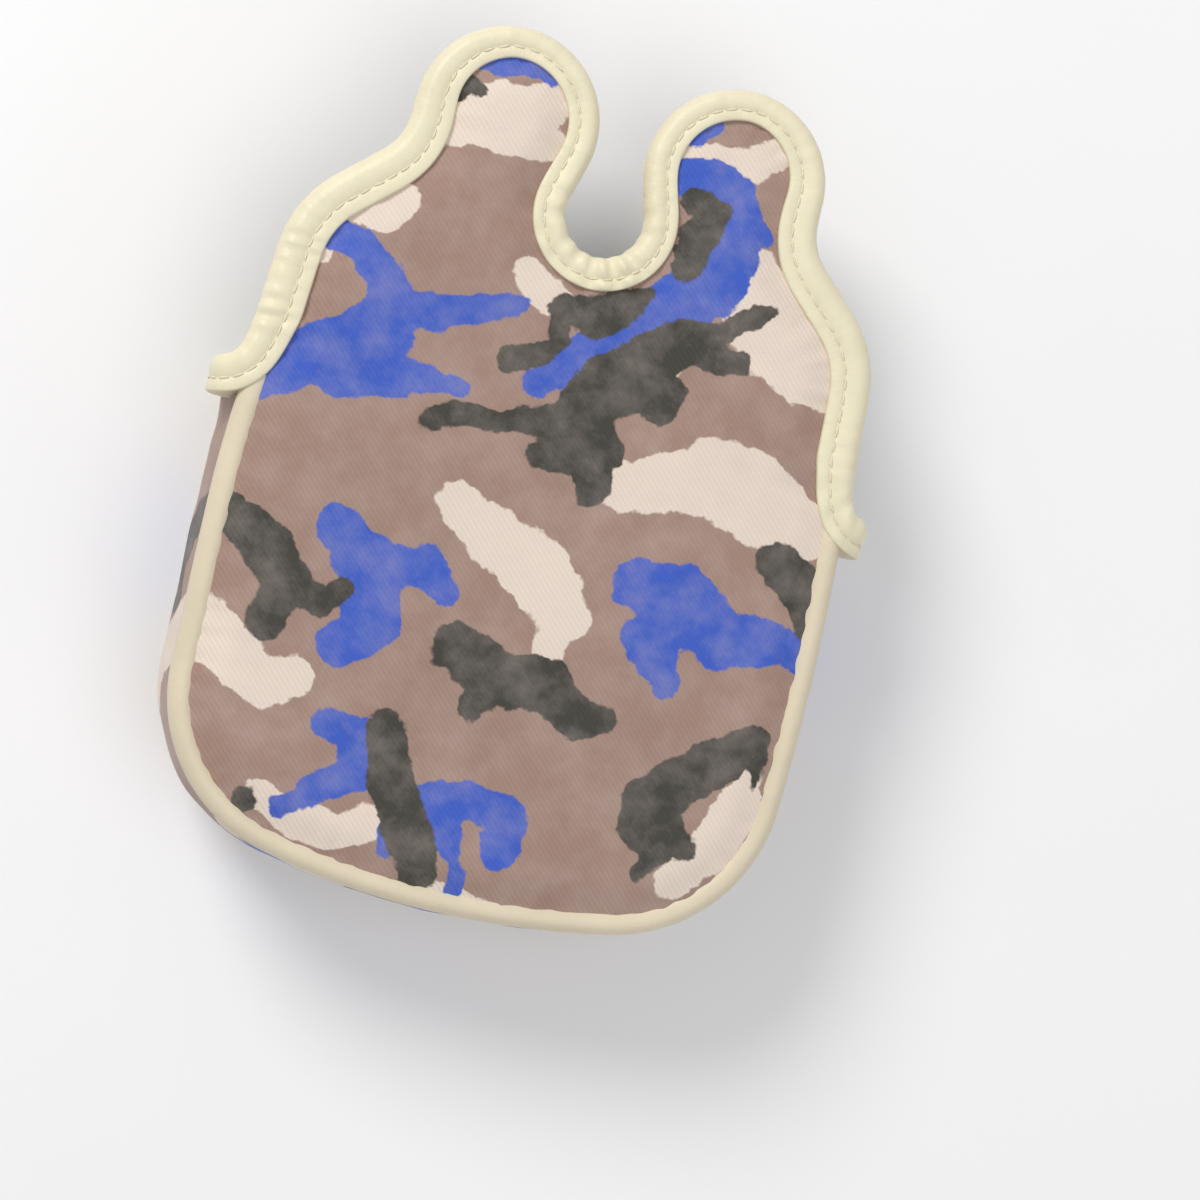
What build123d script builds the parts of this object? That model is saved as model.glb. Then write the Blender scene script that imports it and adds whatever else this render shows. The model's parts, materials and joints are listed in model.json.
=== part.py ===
"""Mallet putter head cover: a soft pouch whose two-pronged flap folds over the head and round the shaft.

Frame: X across the cover, +Y from the closed end of the pouch to the tips of the prongs, +Z up.
The cover lies open on its crown panel, with its sole panel and its flap flat on top.
The origin is on the surface it lies on, under the middle of its length and width.
Bodies: pouch, bridge (the stretch of flap that closes the mouth), left prong, right prong.
"""

import os
from math import acos, atan2, cos, hypot, radians, sin, sqrt

from build123d import *

# Overall sizes, mm
pouch_width = 129.4  # over the piping, where the pouch is widest
pouch_length = 97.4  # mouth to closed end
pouch_height = 43.0  # crown face to sole face
prong_length = 39.2  # second fold of the flap to the tips of the prongs

# Outline of the pouch
widest_back = 44.0  # mouth to the widest place
side_radius = 500.0
corner_radius = 34.0
end_radius = 185.0

# Outline of the flap
shoulder_back = 5.4  # second fold back to the corner that the shoulder rounds off
shoulder_inset = 1.9  # how far the side leans in on its way to that corner
shoulder_radius = 24.0
neck_ahead = 12.0  # second fold to the inner corner where the prong begins
neck_radius = 11.0
prong_radius = 18.5
prong_spacing = 47.4  # between the centres of the two round tips
notch_radius = 8.2  # round part of the shaft notch
notch_past_fold = 1.4  # the notch reaches this far into the bridge

# Wall: printed fabric outside, foam, plush lining inside
fabric_t = 1.2
foam_t = 3.0
lining_t = 1.8

# Binding tape, folded over every free edge with the foam inside it
flap_binding_width = 8.2
mouth_binding_width = 6.0
binding_t = 1.5  # at the folded edge
binding_edge_radius = 2.4

# Piping in the seams between the panels and the gusset
piping_radius = 2.8
piping_bore_radius = 1.7
piping_cord_radius = 1.6
piping_lift = 0.3  # the piping stays this far inside the faces of the panels
foot_inset = 1.4  # outside of the cover to the seam foot of the piping
seam_inset = 4.6  # outside of the cover to the edge of the panels

# Gusset, which flares out where it meets the mouth
gusset_inset = 1.0  # outside of the cover to the face of the gusset
flare_radius = 22.0
flare_angle = 45.0
flare_run_on = 20.0  # the flare is drawn this far past the mouth before it is cut there

# Scoop in the mouth edge of the crown panel, where the shaft leaves the pouch
scoop_radius = 16.0
scoop_depth = 15.0
scoop_edge_radius = 8.0

# Closure pads
hook_pad_size = 14.0
loop_pad_size = 22.0
pad_corner_radius = 3.0
pad_t = 0.8
pad_offset = 1.5  # outward from the middle of the prong
pad_margin = 1.0  # loop pad past the closed hook pad, on the sides nearest the shaft

# Clearances
fold_gap = 0.3  # between the two stretches on either side of a fold
mouth_gap = 0.6  # mouth binding to the first fold
closed_gap = 0.4  # hook pad to loop pad when the cover is shut

# Heights
wall = fabric_t + foam_t + lining_t
sole_inner_z = pouch_height - wall
sole_foam_z = sole_inner_z + lining_t
sole_fabric_z = pouch_height - fabric_t
piping_z = piping_lift + piping_radius
foot_height = wall - piping_z

# Places along Y
bridge_length = sole_inner_z + pad_t + closed_gap
flap_length = mouth_gap + bridge_length + prong_length
mouth_y = (pouch_length - flap_length) / 2
end_y = mouth_y - pouch_length
tip_y = mouth_y + flap_length
widest_y = mouth_y - widest_back
taped_y = mouth_y - mouth_binding_width
tape_fold_y = mouth_y - binding_t
fold_1_y = mouth_y + mouth_gap
fold_2_y = fold_1_y + bridge_length
notch_y = fold_2_y - notch_past_fold + notch_radius
prong_y = tip_y - prong_radius
scoop_y = mouth_y - scoop_depth + scoop_radius
pouch_panel_y = fold_1_y - fold_gap / 2
bridge_low_y = fold_1_y + fold_gap / 2
bridge_high_y = fold_2_y - fold_gap / 2
prong_low_y = fold_2_y + fold_gap / 2

# Places across X
prong_x = prong_spacing / 2
hook_pad_x = prong_x + pad_offset
loop_pad_shift = (loop_pad_size - hook_pad_size) / 2 - pad_margin
loop_pad_x = hook_pad_x + loop_pad_shift
loop_pad_y = fold_1_y - (prong_y - fold_2_y) - loop_pad_shift
notch_binding_x = 2 * (notch_radius + flap_binding_width)  # clear of the notch binding
beyond = pouch_width + pouch_length + flap_length  # past everything


def on_ray(centre, through, radius):
    """The point at a radius from a centre, on the ray that leaves it through another point."""
    angle = atan2(through[1] - centre[1], through[0] - centre[0])
    return (centre[0] + radius * cos(angle), centre[1] + radius * sin(angle))


def corner_between(side, side_distance, end, end_distance):
    """The point right of the middle at these distances from the two centres."""
    gap = hypot(end[0] - side[0], end[1] - side[1])
    along = (side_distance**2 - end_distance**2 + gap**2) / (2 * gap)
    across = sqrt(side_distance**2 - along**2)
    to_end = ((end[0] - side[0]) / gap, (end[1] - side[1]) / gap)
    return (
        side[0] + along * to_end[0] + across * to_end[1],
        side[1] + along * to_end[1] - across * to_end[0],
    )


# Centres of the three arcs on the right side of the pouch
side_centre = (pouch_width / 2 - side_radius, widest_y)
end_centre = (0, end_y + end_radius)
corner_centre = corner_between(
    side_centre, side_radius - corner_radius, end_centre, end_radius - corner_radius
)
corner_start = on_ray(side_centre, corner_centre, side_radius)
corner_end = on_ray(end_centre, corner_centre, end_radius)
corner_middle = ((corner_start[0] + corner_end[0]) / 2, (corner_start[1] + corner_end[1]) / 2)


def side_x(inset, y):
    """Half the width of the pouch at a height y, drawn in by an inset."""
    return side_centre[0] + sqrt((side_radius - inset) ** 2 - (y - widest_y) ** 2)


def pouch_edge(inset, start_y):
    """Right half of the pouch's outline, drawn in by an inset, from a height y to the closed end."""
    side = side_radius - inset
    end = end_radius - inset
    corner = corner_radius - inset
    first = on_ray(side_centre, corner_centre, side)
    second = on_ray(end_centre, corner_centre, end)
    start = (side_x(inset, start_y), start_y)
    between = (start_y + first[1]) / 2
    with BuildLine() as edge:
        ThreePointArc(start, (side_x(inset, between), between), first)
        ThreePointArc(first, on_ray(corner_centre, corner_middle, corner), second)
        ThreePointArc(second, on_ray(end_centre, (second[0] / 2, second[1]), end), (0, end_y + inset))
    return edge.line


def cover_plan():
    """Outline of the whole cover from above: pouch, shoulders, prongs and shaft notch."""
    mouth_x = side_x(0, mouth_y)
    outer_x = prong_x + prong_radius

    # the straight stretch that is tangent to the tip of the prong and to the notch
    reach = hypot(prong_x, prong_y - notch_y)
    lean = atan2(notch_y - prong_y, -prong_x) - acos((prong_radius + notch_radius) / reach)
    prong_end = (prong_x + prong_radius * cos(lean), prong_y + prong_radius * sin(lean))
    notch_start = (-notch_radius * cos(lean), notch_y - notch_radius * sin(lean))
    notch_side = (notch_radius * cos(radians(45)), notch_y - notch_radius * sin(radians(45)))

    with BuildSketch() as plan:
        with BuildLine():
            add(pouch_edge(0, mouth_y))
            FilletPolyline(
                (mouth_x, mouth_y),
                (mouth_x - shoulder_inset, fold_2_y - shoulder_back),
                (outer_x, fold_2_y + neck_ahead),
                (outer_x, prong_y),
                radius=[shoulder_radius, neck_radius],
            )
            ThreePointArc((outer_x, prong_y), (prong_x, tip_y), prong_end)
            Line(prong_end, notch_start)
            ThreePointArc(notch_start, notch_side, (0, notch_y - notch_radius))
            mirror(about=Plane.YZ)
        make_face()
    return plan.sketch


def stretch(plan, inset, low_y, high_y, low_x=-beyond, high_x=beyond):
    """A plan drawn in by an inset and cut to a stretch of the cover."""
    with BuildSketch() as cut:
        add(plan)
        if inset > 0:
            offset(amount=-inset)
        with Locations(((low_x + high_x) / 2, (low_y + high_y) / 2)):
            Rectangle(high_x - low_x, high_y - low_y, mode=Mode.INTERSECT)
    return cut.sketch


def gusset_plan():
    """Outline of the gusset's outer face, carried on past the mouth along its flare."""
    flare_y = mouth_y - flare_radius * sin(radians(flare_angle))
    start = (side_x(gusset_inset, flare_y), flare_y)
    up_the_side = (widest_y - flare_y, start[0] - side_centre[0])
    with BuildSketch() as plan:
        with BuildLine():
            add(pouch_edge(gusset_inset, flare_y))
            flare = JernArc(start, up_the_side, flare_radius, -flare_angle)
            run_on = Line(flare @ 1, flare @ 1 + flare_run_on * (flare % 1))
            Line(run_on @ 1, (0, (run_on @ 1).Y))
            mirror(about=Plane.YZ)
        make_face()
    return plan.sketch


def mouth_opening(margin):
    """Everything on the open side of the crown panel's mouth edge, widened by a margin."""
    with BuildSketch() as opening:
        with Locations((0, mouth_y + beyond)):
            Rectangle(2 * beyond, 2 * beyond)
        with Locations((0, scoop_y)):
            Circle(scoop_radius)
        scoop_lips = opening.vertices().sort_by(SortBy.DISTANCE)[:2]
        fillet(scoop_lips, scoop_edge_radius)
        if margin > 0:
            offset(amount=margin)
    return opening.sketch


def save(piece, name):
    """Label a finished piece and write it out."""
    piece.part.label = name
    export_step(piece.part, f"parts/{name}.step")


def layer(name, plan, low_z, thickness, cut_by=()):
    """One flat layer of wall, with the pieces that run through it cut out."""
    with BuildPart() as flat:
        with BuildSketch(Plane.XY.offset(low_z)):
            add(plan)
        extrude(amount=thickness)
        for other in cut_by:
            add(other.part, mode=Mode.SUBTRACT)
    save(flat, name)
    return flat


def piping(name, height, foot_side):
    """Piping round the pouch, with the seam foot that lies between the panel and the gusset."""
    with BuildLine() as route:
        add(pouch_edge(piping_radius, mouth_y))
        mirror(about=Plane.YZ)
    wire = Pos(0, 0, height) * route.wires()[0]
    tape_edge = Plane.XZ.offset(-taped_y)
    across = Plane(origin=wire @ 0, x_dir=(0, 0, 1), z_dir=wire % 0)
    foot_middle = (foot_side * foot_height / 2, (foot_inset + seam_inset) / 2 - piping_radius)
    with BuildPart() as tube:
        with BuildSketch(across):
            Circle(piping_radius)
            with Locations(foot_middle):
                Rectangle(foot_height, seam_inset - foot_inset)
            Circle(piping_bore_radius, mode=Mode.SUBTRACT)
        sweep(path=wire)
        split(bisect_by=tape_edge, keep=Keep.TOP)
    save(tube, name)
    with BuildPart() as cord:
        with BuildSketch(across):
            Circle(piping_cord_radius)
        sweep(path=wire)
        split(bisect_by=tape_edge, keep=Keep.TOP)
    save(cord, f"{name}_cord")
    return tube


def sole_panel():
    """Panel on the sole side of the pouch, up to the first fold."""
    plan = stretch(cover, seam_inset, -beyond, pouch_panel_y)
    layer("sole_panel_lining", plan, sole_inner_z, lining_t, [sole_piping])
    layer("sole_panel_foam", plan, sole_foam_z, foam_t, [sole_piping])
    layer("sole_panel_fabric", plan, sole_fabric_z, fabric_t, [sole_piping])


def loop_pad(name, side):
    """Soft half of the closure, let into the crown panel's fabric."""
    with BuildPart() as pad:
        with BuildSketch():
            with Locations((side * loop_pad_x, loop_pad_y)):
                RectangleRounded(loop_pad_size, loop_pad_size, pad_corner_radius)
        extrude(amount=pad_t)
    save(pad, name)
    return pad


def crown_panel():
    """Panel on the crown side of the pouch, with the scoop for the shaft in its mouth edge."""
    panel = stretch(cover, seam_inset, -beyond, mouth_y)
    taped = panel - mouth_opening(mouth_binding_width)
    pads = [loop_pad("left_loop_pad", -1), loop_pad("right_loop_pad", 1)]
    layer("crown_panel_fabric", taped, 0, fabric_t, [crown_piping, *pads])
    foam = layer("crown_panel_foam", panel - mouth_opening(binding_t), fabric_t, foam_t, [crown_piping])
    layer("crown_panel_lining", taped, wall - lining_t, lining_t, [crown_piping])
    return foam


def gusset():
    """The band that joins the two panels round the sides and the closed end."""
    height = sole_inner_z - wall
    depths = [0, fabric_t, fabric_t + foam_t, wall]
    ends = [taped_y, tape_fold_y, taped_y]
    names = ["gusset_fabric", "gusset_foam", "gusset_lining"]
    bands = []
    for name, outer, inner, end in zip(names, depths[:-1], depths[1:], ends):
        plan = stretch(flared, outer, -beyond, end) - stretch(flared, inner, -beyond, end)
        bands.append(layer(name, plan, wall, height))
    return bands[1]


def mouth_binding():
    """Tape round the mouth: along the crown panel, up both gusset ends and over the piping ends."""
    crown_side = stretch(flared, 0, -beyond, mouth_y)
    crown_edge = (crown_side & mouth_opening(mouth_binding_width)) - mouth_opening(0)
    end_walls = stretch(flared, 0, taped_y, mouth_y) - stretch(flared, wall, taped_y, mouth_y)
    tabs = stretch(flared, 0, taped_y, mouth_y) - stretch(cover, seam_inset, taped_y, mouth_y)
    with BuildPart() as tape:
        with BuildSketch():
            add(crown_edge)
        extrude(amount=wall)
        with BuildSketch(Plane.XY.offset(wall)):
            add(end_walls)
        extrude(amount=sole_inner_z - wall)
        with BuildSketch(Plane.XY.offset(sole_inner_z)):
            add(tabs)
        extrude(amount=wall)
        add(crown_foam.part, mode=Mode.SUBTRACT)
        add(gusset_foam.part, mode=Mode.SUBTRACT)
    save(tape, "mouth_binding")


def flap_stretch(name, low_x, high_x, low_y, high_y):
    """Fabric, foam and lining of one stiff stretch of the flap."""
    plan = stretch(cover, flap_binding_width, low_y, high_y, low_x, high_x)
    foam_plan = stretch(cover, binding_t, low_y, high_y, low_x, high_x)
    layer(f"{name}_fabric", plan, sole_fabric_z, fabric_t)
    layer(f"{name}_lining", plan, sole_inner_z, lining_t)
    return layer(f"{name}_foam", foam_plan, sole_foam_z, foam_t)


def flap_binding(name, foam, low_x, high_x, low_y, high_y):
    """Tape folded over one stretch of the flap's edge, round the foam."""
    whole = stretch(cover, 0, low_y, high_y, low_x, high_x)
    band = whole - stretch(cover, flap_binding_width, low_y, high_y, low_x, high_x)
    with BuildPart() as tape:
        add(edged_flap.part)
        with BuildSketch(Plane.XY.offset(sole_inner_z)):
            add(band)
        extrude(amount=wall, mode=Mode.INTERSECT)
        add(foam.part, mode=Mode.SUBTRACT)
    save(tape, name)


def hook_pad(name, side):
    """Stiff half of the closure, on the lining side of a prong."""
    with BuildPart() as pad:
        with BuildSketch(Plane.XY.offset(sole_inner_z - pad_t)):
            with Locations((side * hook_pad_x, prong_y)):
                RectangleRounded(hook_pad_size, hook_pad_size, pad_corner_radius)
        extrude(amount=pad_t)
    save(pad, name)


def bridge():
    """Stretch of flap between the two folds, with the bottom of the shaft notch."""
    foam = flap_stretch("bridge", -beyond, beyond, bridge_low_y, bridge_high_y)
    edge_stretches = {
        "bridge_left_binding": (-beyond, -notch_binding_x),
        "notch_binding": (-notch_binding_x, notch_binding_x),
        "bridge_right_binding": (notch_binding_x, beyond),
    }
    for name, (low_x, high_x) in edge_stretches.items():
        flap_binding(name, foam, low_x, high_x, bridge_low_y, bridge_high_y)


def prong(name, side):
    """One of the two lobes that pass either side of the shaft."""
    low_x, high_x = sorted([0, side * beyond])
    foam = flap_stretch(name, low_x, high_x, prong_low_y, beyond)
    flap_binding(f"{name}_binding", foam, low_x, high_x, prong_low_y, beyond)
    hook_pad(f"{name}_hook_pad", side)


os.makedirs("parts", exist_ok=True)
cover = cover_plan()
flared = gusset_plan()

sole_piping = piping("sole_piping", pouch_height - piping_z, -1)
crown_piping = piping("crown_piping", piping_z, 1)
sole_panel()
crown_foam = crown_panel()
gusset_foam = gusset()
mouth_binding()

# the flap as one slab with its edges rolled, which each length of tape is cut from
with BuildPart() as edged_flap:
    with BuildSketch(Plane.XY.offset(sole_inner_z)):
        add(stretch(cover, 0, mouth_y, beyond))
    extrude(amount=wall)
    rims = edged_flap.faces().filter_by(Axis.Z).edges()
    fillet(rims - rims.group_by(Axis.Y)[0], binding_edge_radius)

bridge()
prong("left_prong", -1)
prong("right_prong", 1)
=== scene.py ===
import json
from math import cos, pi, radians, sin

import bmesh
import bpy
import numpy as np
from mathutils import Matrix, Vector


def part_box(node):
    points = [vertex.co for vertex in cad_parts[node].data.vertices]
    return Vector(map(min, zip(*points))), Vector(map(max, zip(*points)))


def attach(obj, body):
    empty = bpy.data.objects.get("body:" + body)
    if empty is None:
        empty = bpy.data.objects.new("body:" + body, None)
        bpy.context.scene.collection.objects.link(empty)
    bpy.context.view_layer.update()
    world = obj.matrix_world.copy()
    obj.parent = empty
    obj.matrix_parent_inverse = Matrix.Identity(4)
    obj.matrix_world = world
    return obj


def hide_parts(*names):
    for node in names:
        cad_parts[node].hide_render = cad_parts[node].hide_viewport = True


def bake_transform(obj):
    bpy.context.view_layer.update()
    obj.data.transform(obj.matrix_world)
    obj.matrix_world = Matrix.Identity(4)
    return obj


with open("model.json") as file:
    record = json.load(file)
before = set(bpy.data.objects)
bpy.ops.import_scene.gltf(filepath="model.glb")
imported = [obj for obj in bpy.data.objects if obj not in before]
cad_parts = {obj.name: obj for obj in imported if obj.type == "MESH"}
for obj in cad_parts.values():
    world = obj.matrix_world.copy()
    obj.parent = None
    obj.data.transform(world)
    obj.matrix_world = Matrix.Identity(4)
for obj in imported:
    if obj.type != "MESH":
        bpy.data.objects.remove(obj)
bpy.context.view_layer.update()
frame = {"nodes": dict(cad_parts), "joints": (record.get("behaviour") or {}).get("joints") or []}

metre = 0.001  # sizes below are in millimetres, and each mesh or curve is made in metres
clothUnit = 10  # the cloth map is in centimetres
scene = bpy.context.scene
for leftover in ("Cube", "Light", "Camera"):
    if leftover in bpy.data.objects:
        bpy.data.objects.remove(bpy.data.objects[leftover])


def boxOf(node):
    low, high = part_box(node)
    return np.array(low) / metre, np.array(high) / metre


def jointPlace(name):
    joint = next(j for j in frame["joints"] if j["name"] == name)
    return np.array(joint["pos_m"]) / metre


def topRing(node):
    # outline of a node's highest flat face, as an ordered ring of points in plan
    bm = bmesh.new()
    bm.from_mesh(frame["nodes"][node].data)
    bmesh.ops.remove_doubles(bm, verts=bm.verts, dist=1e-6)
    level = max(v.co.z for v in bm.verts) - 1e-5
    faces = {f for f in bm.faces if all(v.co.z > level for v in f.verts)}
    following = {}
    for face in faces:
        for loop in face.loops:
            if not any(other in faces for other in loop.edge.link_faces if other is not face):
                following[loop.vert] = loop.link_loop_next.vert
    start = next(iter(following))
    ring = [start]
    while following[ring[-1]] is not start:
        ring.append(following[ring[-1]])
    points = np.array([v.co.xy[:] for v in ring]) / metre
    bm.free()
    return points


top = boxOf("sole_panel_fabric")[1][2]
wall = top - boxOf("sole_panel_lining")[0][2]
halfWall = wall / 2
mouthY = boxOf("mouth_binding")[1][1]
fold1 = jointPlace("flap_fold")
fold2 = jointPlace("left_prong_fold")
midBridgeY = (fold1[1] + fold2[1]) / 2
foamInset = boxOf("bridge_right_binding")[1][0] - boxOf("bridge_foam")[1][0]
seamInset = boxOf("sole_piping")[1][0] - boxOf("sole_panel_fabric")[1][0]
notchBottomY = boxOf("notch_binding")[1][1]

outlineSizes = {
    "fineStep": 0.4,
    "step": 0.6,
    "smoothing": 4,  # how many points either side a fine outline is averaged over
    "leftSlack": 1.3,  # the left seam has pulled inwards with use, and more so towards the closed end
    "leftSlackAtEnd": 1.5,
    "slackLength": 45,
}
touching = 0.01


def resample(points, step):
    gaps = np.linalg.norm(np.diff(points, axis=0), axis=1)
    along = np.concatenate([[0], np.cumsum(gaps)])
    count = max(2, int(round(along[-1] / step)) + 1)
    at = np.linspace(0, along[-1], count)
    return np.column_stack([np.interp(at, along, points[:, i]) for i in range(points.shape[1])])


def smoothed(values, reach):
    # a moving average that keeps the two ends where they are
    kernel = np.hanning(2 * reach + 3)[1:-1]
    kernel /= kernel.sum()
    padded = np.vstack([
        2 * values[:1] - values[reach:0:-1],
        values,
        2 * values[-1:] - values[-2:-reach - 2:-1],
    ])
    columns = [np.convolve(padded[:, i], kernel, "valid") for i in range(values.shape[1])]
    return np.column_stack(columns)


def leftNormals(points):
    # unit normals on the left of the direction of travel
    run = np.gradient(points, axis=0)
    run /= np.linalg.norm(run, axis=1)[:, None]
    return np.column_stack([-run[:, 1], run[:, 0]])


def mirrored(half):
    # a half line that ends on the middle plane, carried on to its mirror image
    return np.vstack([half, half[-2::-1] * [-1, 1]])


def flapHalf():
    # right half of the flap's outline: mouth, shoulder, prong and notch, to the middle
    bridge = topRing("bridge_foam")
    prong = topRing("right_prong_foam")
    low, high = boxOf("bridge_foam")
    edge = bridge[(bridge[:, 1] < high[1] - touching) & (bridge[:, 0] > -touching)]
    side = edge[edge[:, 0] > high[0] / 2]
    side = side[np.argsort(side[:, 1])]
    notch = edge[(edge[:, 0] < high[0] / 2) & (edge[:, 1] > low[1] + touching)]
    notch = notch[np.argsort(-notch[:, 0])]
    lean = (side[1] - side[0]) / (side[1, 1] - side[0, 1])
    side = np.vstack([side[0] + lean * (mouthY - side[0, 1]), side])
    foldY = boxOf("right_prong_foam")[0][1]
    first = np.argmin(np.linalg.norm(prong - (high[0], foldY), axis=1))
    ring = np.roll(prong, -first, axis=0)  # begins at the outer corner, on the fold
    onFold = ring[:, 1] < foldY + touching
    lobe = ring[~onFold]
    outer = ring[onFold][np.argmax(ring[onFold][:, 0])]
    inner = ring[onFold][np.argmin(ring[onFold][:, 0])]
    middle = [[0, notch[-1][1]]]
    half = np.vstack([side, outer, lobe, inner, notch, middle])
    half = smoothed(resample(half, outlineSizes["fineStep"]), outlineSizes["smoothing"])
    normals = leftNormals(half)
    normals[-1] = (0, -1)
    return half - foamInset * normals  # the foam stops short of the folded edge of the tape


def pouchHalf():
    # right half of the pouch's outline: mouth to the middle of the closed end
    ring = topRing("sole_panel_fabric")
    half = ring[(ring[:, 0] >= -touching) & (ring[:, 1] < mouthY)]
    insideY = mouthY - 40  # the points are put in order by their direction from here
    half = half[np.argsort(np.arctan2(half[:, 1] - insideY, half[:, 0]))[::-1]]
    half = smoothed(resample(half, outlineSizes["fineStep"]), outlineSizes["smoothing"])
    half[-1, 0] = 0
    normals = leftNormals(half)
    normals[-1] = (0, -1)
    return half + seamInset * normals


def nearestOn(line, points):
    # distance from each point to a finely divided line, and which of its points is nearest
    away = np.empty(len(points))
    which = np.empty(len(points), int)
    for start in range(0, len(points), 2000):
        part = points[start:start + 2000, None, :] - line[None, :, :]
        squares = (part**2).sum(2)
        which[start:start + 2000] = squares.argmin(1)
        away[start:start + 2000] = np.sqrt(squares.min(1))
    return away, which


def isInside(ring, points):
    inside = np.zeros(len(points), bool)
    ends = np.roll(ring, -1, axis=0)
    for (x1, y1), (x2, y2) in zip(ring, ends):
        crosses = (y1 > points[:, 1]) != (y2 > points[:, 1])
        if crosses.any():
            at = x1 + (points[:, 1] - y1) * (x2 - x1) / (y2 - y1)
            inside ^= crosses & (points[:, 0] < at)
    return inside


def smoothstep(low, high, values):
    t = np.clip((np.asarray(values, float) - low) / (high - low), 0, 1)
    return t * t * (3 - 2 * t)


def waves(seed, points, wavelength, octaves=2):
    # soft repeatable unevenness from -1 to 1: a few sine waves with seeded directions
    random = np.random.default_rng(seed)
    total = np.zeros(len(points))
    for octave in range(octaves):
        for _ in range(6):
            heading = random.normal(size=points.shape[1])
            heading *= 2 * pi / wavelength * 2**octave / np.linalg.norm(heading)
            heading *= random.uniform(0.7, 1.3)
            total += np.sin(points @ heading + random.uniform(0, 2 * pi)) / 2**octave
    return total / 6


print("reading the outline from the frame")
flapLine = mirrored(resample(flapHalf(), outlineSizes["step"]))
pouchLine = mirrored(resample(pouchHalf(), outlineSizes["step"]))
towardsEnd = smoothstep(0, -outlineSizes["slackLength"], pouchLine[:, 1])
towardsLeft = smoothstep(0, -outlineSizes["slackLength"], pouchLine[:, 0])
slack = outlineSizes["leftSlack"] + outlineSizes["leftSlackAtEnd"] * towardsEnd
pouchLine[:, 0] += slack * towardsLeft
coverRing = np.vstack([flapLine, pouchLine[::-1]])


def makeMesh(name, points, faces, materials, uv, fields, kinds, normals=None):
    # points in millimetres, uv in millimetres of cloth, fields as one number for each point
    mesh = bpy.data.meshes.new(name)
    mesh.from_pydata((points * metre).tolist(), [], faces)
    mesh.polygons.foreach_set("use_smooth", [True] * len(mesh.polygons))
    layer = mesh.uv_layers.new(name="cloth")
    corners = np.empty(len(mesh.loops), int)
    mesh.loops.foreach_get("vertex_index", corners)
    layer.data.foreach_set("uv", (uv[corners] / clothUnit).ravel())
    for field, values in fields.items():
        attribute = mesh.attributes.new(field, "FLOAT", "POINT")
        attribute.data.foreach_set("value", np.asarray(values, np.float32))
    for material in materials:
        mesh.materials.append(material)
    mesh.polygons.foreach_set("material_index", [int(kind) for kind in kinds])
    mesh.update()
    if normals is not None:
        mesh.normals_split_custom_set_from_vertices(normals.tolist())
    piece = bpy.data.objects.new(name, mesh)
    scene.collection.objects.link(piece)
    return piece


def pointNormals(points, faces):
    # smooth normals of the whole, so that a piece cut in lengths shades as one
    a, b, c, d = (points[faces[:, i]] for i in range(4))
    flat = np.cross(c - a, d - b)
    total = np.zeros_like(points)
    for i in range(4):
        np.add.at(total, faces[:, i], flat)
    return total / np.maximum(np.linalg.norm(total, axis=1), 1e-9)[:, None]


def gridFaces(rows, columns):
    # faces of a flat grid of points stored row by row
    corners = (row * columns + column for row in range(rows - 1) for column in range(columns - 1))
    return [(a, a + 1, a + 1 + columns, a + columns) for a in corners]


def stripFaces(rows, columns):
    # faces of a tube of points stored ring by ring
    rings = (range(row * columns, (row + 1) * columns) for row in range(rows - 1))
    return [(a, b, b + columns, a + columns) for ring in rings for a, b in zip(ring, [*ring[1:], ring[0]])]


def bend(piece):
    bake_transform(piece)


def lengthsOf(points):
    # which of the three lengths each point belongs to
    flap = points[:, 1] < midBridgeY
    left = points[:, 0] < 0
    return {"flap": flap, "leftProng": ~flap & left, "rightProng": ~flap & ~left}


def makeLengths(names, points, faces, materials, uv, fields=None, kinds=None):
    # one mesh cut in three at the middle of the bridge and the middle line, each made a piece of its own
    faces = np.array(faces)
    kinds = np.zeros(len(faces), int) if kinds is None else np.asarray(kinds)
    normals = pointNormals(points, faces)
    pieces = {}
    for length, chosen in lengthsOf(points[faces].mean(1)).items():
        used, renumbered = np.unique(faces[chosen], return_inverse=True)
        pieces[length] = makeMesh(
            names[length],
            points[used],
            renumbered.reshape(-1, 4).tolist(),
            materials,
            uv[used],
            {field: values[used] for field, values in (fields or {}).items()},
            kinds[chosen],
            normals[used],
        )
        bend(pieces[length])
    return pieces


def srgb(red, green, blue):
    shares = (red / 255, green / 255, blue / 255)
    return tuple(s / 12.92 if s <= 10 / 255 else ((s + 0.055) / 1.055) ** 2.4 for s in shares) + (1,)


def newMaterial(name, roughness, specular=0.4, sheen=0.0, sheenRoughness=0.5):
    material = bpy.data.materials.new(name)
    material.use_nodes = True
    shader = material.node_tree.nodes["Principled BSDF"]
    shader.inputs["Roughness"].default_value = roughness
    shader.inputs["Specular IOR Level"].default_value = specular
    shader.inputs["Sheen Weight"].default_value = sheen
    shader.inputs["Sheen Roughness"].default_value = sheenRoughness
    return material, material.node_tree, shader


def addNode(tree, kind, inputs=None, output=0, **settings):
    # a node with its settings, each input set to a value or linked to a socket; gives one output
    node = tree.nodes.new(kind)
    for setting, value in settings.items():
        setattr(node, setting, value)
    for key, value in (inputs or {}).items():
        if isinstance(value, bpy.types.NodeSocket):
            tree.links.new(value, node.inputs[key])
        else:
            node.inputs[key].default_value = value
    return node.outputs[output]


def mathNode(tree, operation, a, b=0.0, clamp=False):
    return addNode(tree, "ShaderNodeMath", {0: a, 1: b}, operation=operation, use_clamp=clamp)


def plus(tree, a, b, clamp=False):
    return mathNode(tree, "ADD", a, b, clamp)


def times(tree, a, b, clamp=False):
    return mathNode(tree, "MULTIPLY", a, b, clamp)


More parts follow.
